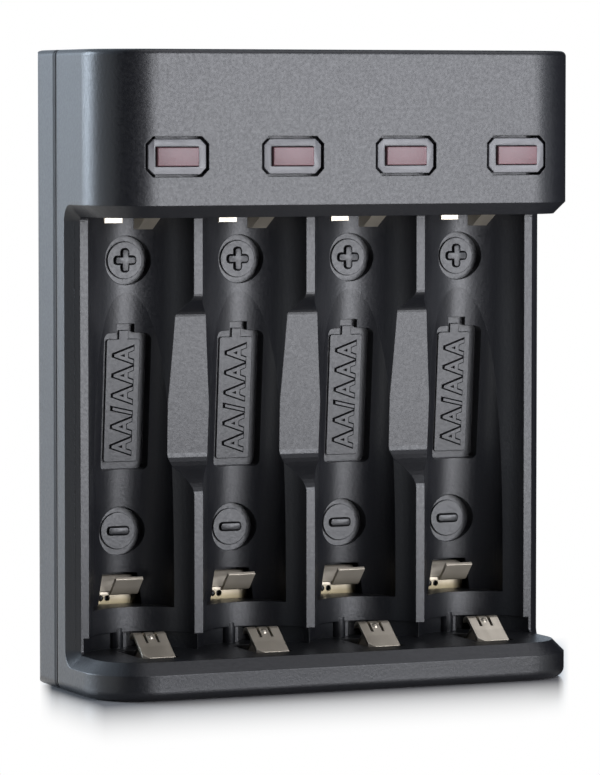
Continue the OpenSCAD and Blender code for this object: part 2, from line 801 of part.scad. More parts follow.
module circuit_board() {
    color([0.1, 0.35, 0.2]) placed()
        slab(-board_width / 2, board_width / 2, board_depth, board_back, board_low, board_high);
}

module indicator_leds() {
    color([0.9, 0.9, 0.85]) placed()
        for (x = bay_x)
            slab(x - lamp_width / 2, x + lamp_width / 2, led_front, board_depth,
                window_z - lamp_height / 2, window_z + lamp_height / 2);
}

module charging_inlet() {
    w = inlet_width / 2;
    d = board_depth - inlet_thick;
    low = inlet_z - inlet_deep;
    mid = board_depth - inlet_thick / 2;
    t = inlet_wall;
    color([0.75, 0.74, 0.72]) placed() {
        difference() {
            slab(-w, w, d, board_depth, low, inlet_z);
            slab(t - w, w - t, d + t, board_depth - t, low + 2 * t, inlet_z + 1);
        }
        slab(3 * t - w, w - 3 * t, mid - inlet_tongue / 2, mid + inlet_tongue / 2, low + t, inlet_z - 2 * t);
    }
}

module charge_controller() {
    color([0.1, 0.1, 0.1]) placed()
        slab(-chip_width / 2, chip_width / 2, board_back, board_back + chip_thick,
            board_low + chip_rise, board_low + chip_rise + chip_height);
}

module channel_transistors() {
    color([0.1, 0.1, 0.1]) placed()
        for (x = bay_x)
            slab(x + lamp_height, x + lamp_height + transistor_width, board_depth - chip_thick, board_depth,
                roof_z + wall, roof_z + wall + transistor_height);
}

module filter_capacitors() {
    color([0.7, 0.6, 0.45]) placed()
        for (s = [-1, 1])
            slab(s * capacitor_x - capacitor_width / 2, s * capacitor_x + capacitor_width / 2,
                board_back, board_back + chip_thick,
                board_high - capacitor_drop - capacitor_height, board_high - capacitor_drop);
}

module cover_screws() {
    color([0.7, 0.7, 0.7]) placed()
        for (p = screws)
            difference() {
                union() {
                    bar(p[0], p[1], screw_dia, pilot_start(p[1]) + screw_end, boss_seat + 0.1);
                    bar(p[0], p[1], screw_head, boss_seat, boss_seat + 1.1);
                }
                for (a = [0, 90])
                    translate([p[0], boss_seat + 0.8, p[1]]) rotate([0, a, 0])
                        translate([-0.9, -0.3, -0.2]) cube([1.8, 1, 0.4]);
            }
}

front_shell();
rear_cover();
light_shield();
lens_1();
lens_2();
lens_3();
lens_4();
aa_contact_1();
aa_contact_2();
aa_contact_3();
aa_contact_4();
aaa_contact_1();
aaa_contact_2();
aaa_contact_3();
aaa_contact_4();
positive_contact_1();
positive_contact_2();
positive_contact_3();
positive_contact_4();
circuit_board();
indicator_leds();
charging_inlet();
charge_controller();
channel_transistors();
filter_capacitors();
cover_screws();
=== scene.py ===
"""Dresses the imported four-bay cell charger: finishes, small details and a studio."""

import json
import math

import bpy
from bpy.props import FloatProperty, FloatVectorProperty, PointerProperty
from mathutils import Matrix, Quaternion, Vector

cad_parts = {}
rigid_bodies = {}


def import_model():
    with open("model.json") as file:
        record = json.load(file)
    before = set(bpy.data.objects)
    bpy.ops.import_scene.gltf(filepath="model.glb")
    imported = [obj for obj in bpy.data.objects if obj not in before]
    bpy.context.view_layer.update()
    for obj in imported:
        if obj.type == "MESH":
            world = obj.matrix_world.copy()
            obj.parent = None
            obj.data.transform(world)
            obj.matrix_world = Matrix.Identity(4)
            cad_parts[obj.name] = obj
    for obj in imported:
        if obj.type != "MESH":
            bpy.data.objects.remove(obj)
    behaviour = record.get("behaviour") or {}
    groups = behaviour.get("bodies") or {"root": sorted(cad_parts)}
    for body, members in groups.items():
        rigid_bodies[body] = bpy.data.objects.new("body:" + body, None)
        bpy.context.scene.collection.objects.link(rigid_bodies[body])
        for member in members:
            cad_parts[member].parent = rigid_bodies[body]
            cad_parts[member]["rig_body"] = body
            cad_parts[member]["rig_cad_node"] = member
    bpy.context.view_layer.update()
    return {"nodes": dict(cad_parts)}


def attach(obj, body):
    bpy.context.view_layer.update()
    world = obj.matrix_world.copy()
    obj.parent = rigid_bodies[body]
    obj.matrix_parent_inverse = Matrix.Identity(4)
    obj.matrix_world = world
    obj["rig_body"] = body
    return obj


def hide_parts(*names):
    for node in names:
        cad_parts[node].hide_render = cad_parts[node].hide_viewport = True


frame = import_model()

bl_info = {
    "name": "Cell charger finishes",
    "version": (1, 0, 0),
    "blender": (4, 5, 0),
    "location": "3D View > Sidebar > Charger",
    "description": "Models the small details of a four-bay cell charger and gives it its finishes",
    "category": "Object",
}

MM = 0.001
BAY_X = [k * 15.2 * MM for k in (-1.5, -0.5, 0.5, 1.5)]
# depths are counted from the front face of the case, as in the part's source
FRONT_Y = -11.85 * MM


def depth(d):
    """Row-frame Y of a depth behind the front face, given in millimetres."""
    return FRONT_Y + d * MM


PLUS_PLACE = (depth(17.35), 53.0 * MM)
MINUS_PLACE = (depth(19.86), 19.1 * MM)
LABEL_ORIGIN = Vector((0.0, depth(16.95), 49.0 * MM))
LABEL_LEAN = math.radians(4.8)
LABEL_FACE = 0.4 * MM
LABEL_MIDDLE = -13.6 * MM
# joint of the two shells, and how far out the sides of the case begin
JOINT_Y = depth(16.3)
JOINT_HALF = 0.8 * MM
JOINT_DIP = 0.4 * MM
OUTSIDE_X = 31.8 * MM
OUTSIDE_BLEND = 0.1 * MM
# where the photograph was taken from
EYE = Vector((-0.23441, -0.52814, 0.07224))
LOOK = Vector((0.4028, 0.91325, -0.06099))
SENSOR_WIDTH = 36
NEAREST = 0.01
# half the width and the depth of the case, for its shade on the floor
SIDE_X = 32.4 * MM
CASE_DEPTH = 23.7 * MM
# how far the shade reaches to the front, and where it ends at the back and at the two sides;
# the sides are slopes seen from the camera's place
SHADE_REACH = 36 * MM
SHADE_BACK = (12 * MM, 30 * MM)
SHADE_LEFT = (0.004, 0.001)
SHADE_RIGHT = (-0.007, -0.004)
FLOOR_SIZE = 8
# the grey paper shows only in the shade zone, as painted shade there
SHADE_PAPER_COLOUR = (0.38, 0.38, 0.39)
# what glossy surfaces see: SWEEP points to the middle of the white backdrop, and the glow goes
# from straight away from it (0, a white patch in front on the right) through a dim room to it (1)
SWEEP = (-0.643, 0.766, 0)
SWEEP_GLOW = ((0.0, 1.0), (0.04, 0.6), (0.1, 0.015), (0.58, 0.015), (0.66, 1.0))
ROOM_LEVEL = 0.06
WHITE = (1, 1, 1, 1)
SKY_WHITE = (0.74, 0.86, 1)
LAMP_WHITE = (0.93, 0.94, 1)
CASE_MIDDLE = (0, 0, 0.04)
LOW_PLACE = Vector((0.122, -0.312, 0.0003))
LOW_TURN = math.radians(23.7)
# heights between which the AAA contacts go from a darker brassy tone at the bottom to the plating
# colour
DARK_TONE_ENDS = 10.2 * MM
PLATING_STARTS = 12.2 * MM
# rolling marks run along the strip, so they are long in Y and Z
ROLLING = (1, 0.15, 0.15)
# type: spacing of the letters, and how much bolder than the font the letters and their outline are
LETTER_SPACING = 1.42
LETTER_BOLD = 0.025
SHADE_OUTLINE_BOLD = 0.08
LETTER_DEPTH = 0.1
LETTER_SMOOTHNESS = 6
# rounding of a sign's arm ends and front edges, as shares of its stroke and rise
END_SHARE = 0.4
EDGE_SHARE = 0.3
# tolerances in metres, and the least cosine of a face that looks in a direction
SAME_POINT = 2e-6
SAME_PLANE = 1e-5
LETTER_WELD = 1e-5
SIGN_REACH = 1e-6
SIGN_WELD = 1e-7
LOOKS_ALONG = 0.9
LOOKS_ASIDE = 0.5
# range in which most of a noise texture's values lie
NOISE_LOW = 0.3
NOISE_HIGH = 0.7


class FinishSettings(bpy.types.PropertyGroup):
    """Colours of the charger."""

    case_colour: FloatVectorProperty(
        name="Case", description="Colour of the case plastic",
        subtype="COLOR", size=3, min=0, max=1, default=(0.006, 0.0064, 0.0082))
    bezel_colour: FloatVectorProperty(
        name="Bezel", description="Colour of the bezels",
        subtype="COLOR", size=3, min=0, max=1, default=(0.07, 0.07, 0.076))
    lens_colour: FloatVectorProperty(
        name="Lens", description="Colour of the indicator lenses",
        subtype="COLOR", size=3, min=0, max=1, default=(0.1, 0.045, 0.052))
    contact_colour: FloatVectorProperty(
        name="Contact", description="Colour of the plated contacts",
        subtype="COLOR", size=3, min=0, max=1, default=(0.68, 0.615, 0.51))
    # a darker brassy tone that the AAA contacts take towards their bottom
    root_colour: FloatVectorProperty(
        name="Contact root", description="Colour of the bare brass low on the AAA contacts",
        subtype="COLOR", size=3, min=0, max=1, default=(0.17, 0.14, 0.08))
    board_colour: FloatVectorProperty(
        name="Board", description="Colour of the board's mask",
        subtype="COLOR", size=3, min=0, max=1, default=(0.02, 0.14, 0.06))


class DetailSettings(bpy.types.PropertyGroup):
    """Sizes of the details."""

    sign_length: FloatProperty(
        name="Sign length", description="Length of a sign's stroke",
        unit="LENGTH", default=2.7 * MM)
    sign_stroke: FloatProperty(
        name="Sign stroke", description="Width of a sign's stroke",
        unit="LENGTH", default=0.85 * MM)
    sign_rise: FloatProperty(
        name="Sign rise", description="Height of a sign over its island",
        unit="LENGTH", default=0.3 * MM)
    letter_height: FloatProperty(
        name="Letter height", description="Height of the raised letters",
        unit="LENGTH", default=2.65 * MM)
    label_length: FloatProperty(
        name="Label length", description="Length of the row of letters",
        unit="LENGTH", default=13.6 * MM)
    letter_rise: FloatProperty(
        name="Letter rise", description="Height of the letters over the island",
        unit="LENGTH", default=0.3 * MM)
    # the outline is a thin dark sheet behind each sign and row of letters: painted shade round
    # their edges
    outline: FloatProperty(
        name="Outline", description="Width of the dark outline round a sign",
        unit="LENGTH", default=0.18 * MM)
    shade_outline_rise: FloatProperty(
        name="Outline rise", description="Thickness of the dark outline",
        unit="LENGTH", default=0.04 * MM)
    lens_round: FloatProperty(
        name="Lens rounding", description="Rounding of a lens's edges",
        unit="LENGTH", default=0.12 * MM)
    bezel_round: FloatProperty(
        name="Bezel rounding", description="Rounding of a bezel's edges",
        unit="LENGTH", default=0.1 * MM)


class StudioSettings(bpy.types.PropertyGroup):
    """Camera and lights."""

    lens: FloatProperty(
        name="Lens", description="Focal length of the camera",
        unit="CAMERA", default=214.8)
    side_power: FloatProperty(
        name="Side softbox", description="Power of the softbox behind the left side",
        unit="POWER", default=14.5)
    front_power: FloatProperty(
        name="Front softbox", description="Power of the softbox in front on the right",
        unit="POWER", default=3.8)
    low_power: FloatProperty(
        name="Low softbox", description="Power of the softbox lying in front",
        unit="POWER", default=1.5)
    top_power: FloatProperty(
        name="Top softbox", description="Power of the softbox overhead",
        unit="POWER", default=1.4)


def clear_selection():
    """Leaves object mode with nothing selected."""
    if bpy.context.object and bpy.context.object.mode != "OBJECT":
        bpy.ops.object.mode_set(mode="OBJECT")
    bpy.ops.object.select_all(action="DESELECT")


def activate(obj):
    """Selects one object alone."""
    clear_selection()
    obj.hide_set(False)
    obj.select_set(True)
    bpy.context.view_layer.objects.active = obj


def select_parts(obj, kind, wanted):
    """Selects the vertices, edges or faces that a test accepts, and goes into edit mode."""
    activate(obj)
    bpy.ops.object.mode_set(mode="EDIT")
    bpy.ops.mesh.select_mode(type=kind)
    bpy.ops.mesh.select_all(action="DESELECT")
    bpy.ops.object.mode_set(mode="OBJECT")
    mesh = obj.data
    for part in {"VERT": mesh.vertices, "EDGE": mesh.edges, "FACE": mesh.polygons}[kind]:
        part.select = wanted(part)
    bpy.ops.object.mode_set(mode="EDIT")


def object_mode():
    """Ends edit mode."""
    bpy.ops.object.mode_set(mode="OBJECT")


def name_piece(obj, name):
    """Names an object and its mesh."""
    obj.name = name
    obj.data.name = name
    return obj


def own_copy(obj, name):
    """A copy of an object with a mesh of its own."""
    twin = obj.copy()
    twin.data = obj.data.copy()
    bpy.context.scene.collection.objects.link(twin)
    return name_piece(twin, name)


def put_in_mesh(obj, matrix):
    """Moves an object's mesh and leaves the object at the origin."""
    obj.data.transform(matrix)
    obj.data.update()


def apply_place(obj):
    """Puts an object's place, turn and size into its mesh."""
    activate(obj)
    bpy.ops.object.transform_apply(location=True, rotation=True, scale=True)


def merged_copy(node, name):
    """A copy of a CAD node whose triangles are merged into whole faces."""
    source = frame["nodes"][node]
    piece = own_copy(source, name)
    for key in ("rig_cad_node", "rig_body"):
        if key in piece:
            del piece[key]
    piece.parent = None
    activate(piece)
    bpy.ops.mesh.customdata_custom_splitnormals_clear()
    bpy.ops.object.mode_set(mode="EDIT")
    bpy.ops.mesh.select_all(action="SELECT")
    bpy.ops.mesh.remove_doubles(threshold=SAME_POINT)
    bpy.ops.mesh.dissolve_limited(angle_limit=math.radians(0.5))
    object_mode()
    return piece


def round_front(piece, offset, segments):
    """Rounds the edges in a piece's foremost plane."""
    verts = piece.data.vertices
    face = min(v.co.y for v in verts)
    select_parts(piece, "EDGE",
                 lambda e: all(abs(verts[i].co.y - face) < SAME_PLANE for i in e.vertices))
    bpy.ops.mesh.bevel(offset=offset, segments=segments, profile=0.5, clamp_overlap=True)
    object_mode()


def smooth(piece, degrees):
    """Shades a piece smooth up to an angle."""
    activate(piece)
    bpy.ops.object.shade_smooth_by_angle(angle=math.radians(degrees))


def give(obj, material):
    """Makes a material the only one of an object."""
    obj.data.materials.clear()
    obj.data.materials.append(material)


def paint_shade_on_sides(piece, facing, material):
    """Gives the faces that stand square to a direction a second, darker material: painted shade on
    the sides.
    """
    piece.data.materials.append(material)
    for face in piece.data.polygons:
        if abs(face.normal.dot(facing)) < LOOKS_ASIDE:
            face.material_index = 1


def seat(piece, body, slot, *nodes):
    """Hands a finished piece to its body and hides the CAD nodes it stands in for; the slot is not
    used.
    """
    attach(piece, body)
    if nodes:
        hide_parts(*nodes)


def shader(name, colour, roughness, metallic=0.0, specular=0.5):
    """A new material with its constant values set, and its nodes."""
    made = bpy.data.materials.new(name)
    made.use_nodes = True
    tree = made.node_tree
    bsdf = tree.nodes["Principled BSDF"]
    bsdf.inputs["Base Color"].default_value = (*colour, 1)
    bsdf.inputs["Roughness"].default_value = roughness
    bsdf.inputs["Metallic"].default_value = metallic
    bsdf.inputs["Specular IOR Level"].default_value = specular
    return made, tree, bsdf


def noise(tree, scale, detail=2.0, stretch=(1, 1, 1)):
    """Noise on the piece's own coordinates; scale is in bumps per metre."""
    mapping = tree.nodes.new("ShaderNodeMapping")
    mapping.inputs["Scale"].default_value = stretch
    made = tree.nodes.new("ShaderNodeTexNoise")
    made.inputs["Scale"].default_value = scale
    made.inputs["Detail"].default_value = detail
    tree.links.new(own_place(tree), mapping.inputs["Vector"])
    tree.links.new(mapping.outputs["Vector"], made.inputs["Vector"])
    return made.outputs["Fac"]


def remap(tree, value, low, high, first=0.0, last=1.0):
    """Goes from the first value at the low end to the last one at the high end, and stops there."""
    made = tree.nodes.new("ShaderNodeMapRange")
    made.inputs["From Min"].default_value = low
    made.inputs["From Max"].default_value = high
    made.inputs["To Min"].default_value = first
    made.inputs["To Max"].default_value = last
    tree.links.new(value, made.inputs["Value"])
    return made.outputs["Result"]


def fall(tree, value, full, none):
    """1 up to one value and 0 from another one on."""
    return remap(tree, value, full, none, 1.0, 0.0)


def spread(tree, value, low, high):
    """Spreads a noise over a range."""
    return remap(tree, value, NOISE_LOW, NOISE_HIGH, low, high)


def calc(tree, operation, first, second=0.0):
    """Arithmetic with one or two numbers, each a socket or a constant."""
    made = tree.nodes.new("ShaderNodeMath")
    made.operation = operation
    for socket, value in zip(made.inputs, (first, second)):
        if isinstance(value, (int, float)):
            socket.default_value = value
        else:
            tree.links.new(value, socket)
    return made.outputs["Value"]


def own_place(tree):
    """A point's place in the piece's own coordinates."""
    return tree.nodes.new("ShaderNodeTexCoord").outputs["Object"]


def axes(tree, place):
    """The X, Y and Z of a place."""
    split = tree.nodes.new("ShaderNodeSeparateXYZ")
    tree.links.new(place, split.inputs["Vector"])
    return split.outputs


def tint(tree, value, dark, light):
    """Two colours mixed by a value."""
    made = tree.nodes.new("ShaderNodeMix")
    made.data_type = "RGBA"
    made.inputs["A"].default_value = (*dark, 1)
    made.inputs["B"].default_value = (*light, 1)
    tree.links.new(value, made.inputs["Factor"])
    return made.outputs["Result"]


def grain(tree, bsdf, value, strength, height, soften=0.0):
    """Fine relief on a surface, over softened edges."""
    bump = tree.nodes.new("ShaderNodeBump")
    bump.inputs["Strength"].default_value = strength
    bump.inputs["Distance"].default_value = height
    tree.links.new(value, bump.inputs["Height"])
    if soften:
        edge = tree.nodes.new("ShaderNodeBevel")
        edge.samples = 6
        edge.inputs["Radius"].default_value = soften
        tree.links.new(edge.outputs["Normal"], bump.inputs["Normal"])
    tree.links.new(bump.outputs["Normal"], bsdf.inputs["Normal"])


def scaled(colour, factor):
    """A colour made darker or lighter."""
    return tuple(c * factor for c in colour)


def uneven(tree, bsdf, value, colour, shares):
    """Lets a surface's colour vary between two shares of it."""
    low, high = (scaled(colour, share) for share in shares)
    tree.links.new(tint(tree, value, low, high), bsdf.inputs["Base Color"])


def rough(tree, bsdf, value, roughness, steps):
    """Lets a surface's roughness vary by two steps round it."""
    low, high = (roughness + step for step in steps)
    tree.links.new(spread(tree, value, low, high), bsdf.inputs["Roughness"])


def joint_line(tree, bsdf):
    """A shallow dip along the joint of the two shells, on the outside of the case."""
    at = axes(tree, own_place(tree))
    from_joint = calc(tree, "ABSOLUTE", calc(tree, "SUBTRACT", at["Y"], JOINT_Y))
    from_middle = calc(tree, "ABSOLUTE", at["X"])
    slope = remap(tree, from_joint, 0.0, JOINT_HALF)
    inside = fall(tree, from_middle, OUTSIDE_X, OUTSIDE_X + OUTSIDE_BLEND)
    bump = tree.nodes.new("ShaderNodeBump")
    bump.inputs["Distance"].default_value = JOINT_DIP
    # inside the case the dip is filled
    tree.links.new(calc(tree, "MAXIMUM", slope, inside), bump.inputs["Height"])
    tree.links.new(bsdf.inputs["Normal"].links[0].from_socket, bump.inputs["Normal"])
    tree.links.new(bump.outputs["Normal"], bsdf.inputs["Normal"])


def textured_plastic(name, colour, roughness, soften):
    """Moulded plastic with a fine spark-eroded texture."""
    made, tree, bsdf = shader(name, colour, roughness)
    fine = noise(tree, scale=2600, detail=3)
    broad = noise(tree, scale=260)
    uneven(tree, bsdf, broad, colour, (0.88, 1.12))
    rough(tree, bsdf, fine, roughness, (-0.05, 0.06))
    grain(tree, bsdf, fine, strength=0.4, height=0.05 * MM, soften=soften)
    return made


def plated_sheet(name, colour, roughness, metallic):
    """Nickel-plated spring sheet with rolling marks."""
    made, tree, bsdf = shader(name, colour, roughness, metallic)
    lines = noise(tree, scale=900, detail=3, stretch=ROLLING)
    cloud = noise(tree, scale=420)
    uneven(tree, bsdf, cloud, colour, (0.86, 1.08))
    rough(tree, bsdf, lines, roughness, (-0.06, 0.1))
    grain(tree, bsdf, lines, strength=0.08, height=0.02 * MM, soften=0.12 * MM)
    return made


def fade_low(made, colour, low, high):
    """Another colour on the lower part of a piece, below a height."""
    tree = made.node_tree
    mix = tree.nodes.new("ShaderNodeMix")
    mix.data_type = "RGBA"
    mix.inputs["A"].default_value = (*colour, 1)
    base = tree.nodes["Principled BSDF"].inputs["Base Color"]
    height = axes(tree, own_place(tree))["Z"]
    tree.links.new(remap(tree, height, low, high), mix.inputs["Factor"])
    tree.links.new(base.links[0].from_socket, mix.inputs["B"])
    tree.links.new(mix.outputs["Result"], base)


def mottled(name, colour, roughness, metallic=0.0, scale=700, specular=0.5):
    """A plain technical finish with slight unevenness."""
    made, tree, bsdf = shader(name, colour, roughness, metallic, specular)
    cloud = noise(tree, scale, detail=3)
    uneven(tree, bsdf, cloud, colour, (0.82, 1.12))
    rough(tree, bsdf, cloud, roughness, (-0.05, 0.08))
    grain(tree, bsdf, cloud, strength=0.08, height=0.02 * MM)
    return made


def lens_plastic(name, colour):
    """Tinted clear plastic, a little milky inside."""
    made, tree, bsdf = shader(name, colour, roughness=0.34, specular=0.36)
    cloud = noise(tree, scale=500)
    uneven(tree, bsdf, cloud, colour, (0.8, 1.15))
    bsdf.inputs["Subsurface Weight"].default_value = 0.1
    bsdf.inputs["Subsurface Radius"].default_value = (0.002, 0.0005, 0.0006)
    bsdf.inputs["Subsurface Scale"].default_value = 0.6
    grain(tree, bsdf, cloud, strength=0.04, height=0.02 * MM)
    return made


class CHARGER_OT_case(bpy.types.Operator):
    """Gives the front shell and the rear cover their textured black plastic"""

    bl_idname = "charger.case"
    bl_label = "Finish the case"

    def execute(self, context):
        finish = context.scene.charger_finish
        black = tuple(finish.case_colour)
        plastic = textured_plastic("case_plastic", black, roughness=0.38, soften=0.14 * MM)
        joint_line(plastic.node_tree, plastic.node_tree.nodes["Principled BSDF"])
        # the signs' materials are made here, and the signs and labels take them by name
        textured_plastic("sign_plastic", black, roughness=0.36, soften=0.04 * MM)
        # a darker black for the sides of signs and letters and for their outlines: painted shade
        mottled("sign_painted_shade", scaled(black, 0.3), roughness=0.75, specular=0.1)
        for node in ("front_shell", "rear_cover"):
            give(frame["nodes"][node], plastic)
        return {"FINISHED"}


class CHARGER_OT_bezels(bpy.types.Operator):
    """Models the light shield with softened bezels"""

    bl_idname = "charger.bezels"
    bl_label = "Model the bezels"

    def execute(self, context):
        finish = context.scene.charger_finish
        size = context.scene.charger_detail
        shield = merged_copy("light_shield", "bezel_frame")
        round_front(shield, size.bezel_round, segments=3)
        smooth(shield, degrees=35)
        grey = tuple(finish.bezel_colour)
        give(shield, mottled("bezel_plastic", grey, roughness=0.36, scale=500))
        seat(shield, "housing", "bezel_grey", "light_shield")
        return {"FINISHED"}


class CHARGER_OT_lenses(bpy.types.Operator):
    """Models the four lenses with rounded faces"""

    bl_idname = "charger.lenses"
    bl_label = "Model the lenses"

    def execute(self, context):
        finish = context.scene.charger_finish
        size = context.scene.charger_detail
        plastic = lens_plastic("lens_plastic", tuple(finish.lens_colour))
        for number in range(1, 5):
            lens = merged_copy("lens_%d" % number, "indicator_lens_%d" % number)
            round_front(lens, size.lens_round, segments=4)
            smooth(lens, degrees=35)
            give(lens, plastic)
            seat(lens, "housing", "lens_pink", "lens_%d" % number)
        return {"FINISHED"}


def sign_blank(name, stroke, rise):
    """The middle block of a sign, at the origin, with its back on the XZ plane."""
    clear_selection()
    bpy.ops.mesh.primitive_cube_add(size=1, location=(0, -rise / 2, 0))
    block = name_piece(bpy.context.object, name)
    block.scale = (stroke, rise, stroke)
    apply_place(block)
    return block


def pull_arms(block, directions, length, stroke):
    """Extrudes the faces of a block's middle that look in some directions."""
    mid = stroke / 2 + SIGN_REACH
    for direction in directions:
        way = Vector(direction)
        across = Vector((abs(way.z), 0, abs(way.x)))
        verts = block.data.vertices
        select_parts(block, "FACE", lambda f: f.normal.dot(way) > LOOKS_ALONG
                     and all(abs(verts[i].co.dot(across)) < mid for i in f.vertices))
        bpy.ops.mesh.extrude_region_move(TRANSFORM_OT_translate={"value": way * length})
        object_mode()


def round_sign(block, ends, edges):
    """Rounds the ends of a sign's arms, and then its front edges."""
    select_parts(block, "EDGE", lambda e: True)
    bpy.ops.mesh.remove_doubles(threshold=SIGN_WELD)
    bpy.ops.mesh.dissolve_limited(angle_limit=math.radians(1))
    object_mode()
    verts = block.data.vertices
    half = max(v.co.x for v in verts)

    def at_end(edge):
        a, b = (verts[i].co for i in edge.vertices)
        along_y = abs(a.x - b.x) + abs(a.z - b.z) < SIGN_REACH
        return along_y and max(abs(a.x), abs(a.z)) > half - SIGN_REACH

    select_parts(block, "EDGE", at_end)
    bpy.ops.mesh.bevel(offset=ends, segments=4, profile=0.5, clamp_overlap=True)
    object_mode()
    verts = block.data.vertices
    face = min(v.co.y for v in verts)
    select_parts(block, "EDGE",
                 lambda e: all(verts[i].co.y < face + SIGN_WELD for i in e.vertices))
    bpy.ops.mesh.bevel(offset=edges, segments=2, profile=0.5, clamp_overlap=True)
    object_mode()
    smooth(block, degrees=40)


def join_pieces(piece, other):
    """Joins another object to a piece."""
    activate(piece)
    other.select_set(True)
    bpy.ops.object.join()


class CHARGER_OT_signs(bpy.types.Operator):
    """Models the raised polarity signs on their islands"""

    bl_idname = "charger.signs"
    bl_label = "Model the signs"

    def execute(self, context):
        size = context.scene.charger_detail
        arm = (size.sign_length - size.sign_stroke) / 2
        sideways = [(1, 0, 0), (-1, 0, 0)]
        upright = [(0, 0, 1), (0, 0, -1)]
        for stem, ways, (y, z) in (("plus_sign", sideways + upright, PLUS_PLACE),
                                   ("minus_sign", sideways, MINUS_PLACE)):
            parts = []
            # the second, larger block is a thin dark sheet behind the sign: painted shade round it
            for grow, rise in ((0, size.sign_rise), (size.outline, size.shade_outline_rise)):
                stroke = size.sign_stroke + 2 * grow
                block = sign_blank(stem, stroke, rise)
                pull_arms(block, ways, arm, stroke)
                round_sign(block, stroke * END_SHARE, rise * EDGE_SHARE)
                parts.append(block)
            sign, outline = parts
            give(sign, bpy.data.materials["sign_plastic"])
            # the sign's sides take the darker black as painted shade
            paint_shade_on_sides(sign, Vector((0, 1, 0)), bpy.data.materials["sign_painted_shade"])
            give(outline, bpy.data.materials["sign_painted_shade"])
            join_pieces(sign, outline)
            for number, x in enumerate(BAY_X, 1):
                one = own_copy(sign, "%s_%d" % (stem, number))
                put_in_mesh(one, Matrix.Translation((x, y, z)))
                seat(one, "housing", "case_black")
            bpy.data.objects.remove(sign)
        return {"FINISHED"}


def letter_row(name, bold):
    """The letters as a thin mesh that lies in XY round the origin, and their box's size."""
    clear_selection()
    bpy.ops.object.text_add()
    text = bpy.context.object
    text.data.body = "AA/AAA"
    text.data.align_x = "CENTER"
    text.data.align_y = "CENTER"
    text.data.space_character = LETTER_SPACING
    text.data.offset = bold
    text.data.resolution_u = LETTER_SMOOTHNESS
    text.data.extrude = LETTER_DEPTH
    bpy.ops.object.convert(target="MESH")
    row = name_piece(bpy.context.object, name)
    corners = [Vector(c) for c in row.bound_box]
    low = Vector([min(c[i] for c in corners) for i in range(3)])
    high = Vector([max(c[i] for c in corners) for i in range(3)])
    put_in_mesh(row, Matrix.Translation(-(low + high) / 2))
    activate(row)
    bpy.ops.object.mode_set(mode="EDIT")
    bpy.ops.mesh.select_all(action="SELECT")
    bpy.ops.mesh.remove_doubles(threshold=LETTER_WELD)
    object_mode()
    return row, high - low


class CHARGER_OT_labels(bpy.types.Operator):
    """Models the raised cell sizes on the label islands"""

    bl_idname = "charger.labels"
    bl_label = "Model the labels"

    def execute(self, context):
        size = context.scene.charger_detail
        # text lies in XY facing +Z: stand it up, read it upwards, and lean it with the channel
        stand = Matrix.Rotation(math.radians(90), 4, "X")
        upwards = Matrix.Rotation(math.radians(-90), 4, "Y")
        lean = Matrix.Rotation(LABEL_LEAN, 4, "X")
        label, span = letter_row("size_label", LETTER_BOLD)
        # the bolder row is a thin dark sheet behind the letters: painted shade round them
        outline, _ = letter_row("size_shade_outline", SHADE_OUTLINE_BOLD)
        for row, rise in ((label, size.letter_rise), (outline, size.shade_outline_rise)):
            fit = (size.label_length / span.x, size.letter_height / span.y, rise / span.z, 1)
            put_in_mesh(row, Matrix.Diagonal(fit))
            local = Matrix.Translation((0, LABEL_FACE - rise / 2, LABEL_MIDDLE))
            put_in_mesh(row, Matrix.Translation(LABEL_ORIGIN) @ lean @ local @ upwards @ stand)
            smooth(row, degrees=30)
        give(label, bpy.data.materials["sign_plastic"])
        # the letters' sides take the darker black as painted shade
        paint_shade_on_sides(label, lean @ Vector((0, 1, 0)), bpy.data.materials["sign_painted_shade"])
        give(outline, bpy.data.materials["sign_painted_shade"])
        join_pieces(label, outline)
        for number, x in enumerate(BAY_X, 1):
            one = own_copy(label, "size_label_%d" % number)
            put_in_mesh(one, Matrix.Translation((x, 0, 0)))
            seat(one, "housing", "case_black")
        bpy.data.objects.remove(label)
        return {"FINISHED"}


class CHARGER_OT_contacts(bpy.types.Operator):
    """Gives the contacts their nickel plating"""

    bl_idname = "charger.contacts"
    bl_label = "Finish the contacts"

    def execute(self, context):
        finish = context.scene.charger_finish
        nickel = tuple(finish.contact_colour)
        # the AAA contacts take a lighter, less metallic copy of the plating: painted light for
        # their bright highlights
        plate_tone, lit_tone = scaled(nickel, 0.68), scaled(nickel, 0.85)
        plating = plated_sheet("contact_plating", plate_tone, roughness=0.34, metallic=0.8)
        lit_copy = plated_sheet("lit_plating_copy", lit_tone, roughness=0.34, metallic=0.6)
        # darker and brassier towards the bottom
        fade_low(lit_copy, tuple(finish.root_colour), DARK_TONE_ENDS, PLATING_STARTS)
        for node, obj in frame["nodes"].items():
            if "contact" in node:
                give(obj, lit_copy if node.startswith("aaa") else plating)
        return {"FINISHED"}


class CHARGER_OT_inside(bpy.types.Operator):
    """Finishes the board, what sits on it, the inlet and the screws"""

    bl_idname = "charger.inside"
    bl_label = "Finish the inside"

    def execute(self, context):
        green = tuple(context.scene.charger_finish.board_colour)
        finishes = {
            "circuit_board": mottled("board_mask", green, 0.35),
            "indicator_leds": mottled("lamp_epoxy", (0.75, 0.74, 0.68), 0.2),
            "charging_inlet": mottled("inlet_plating", (0.62, 0.62, 0.62), 0.28, 1.0),
            "charge_controller": mottled("chip_moulding", (0.02, 0.02, 0.02), 0.5),
            "channel_transistors": mottled("transistor_moulding", (0.025, 0.025, 0.025), 0.5),
            "filter_capacitors": mottled("capacitor_ceramic", (0.42, 0.3, 0.17), 0.5),
            "cover_screws": mottled("screw_zinc", (0.5, 0.5, 0.52), 0.32, 1.0),
        }
        for node, material in finishes.items():
            give(frame["nodes"][node], material)
        return {"FINISHED"}


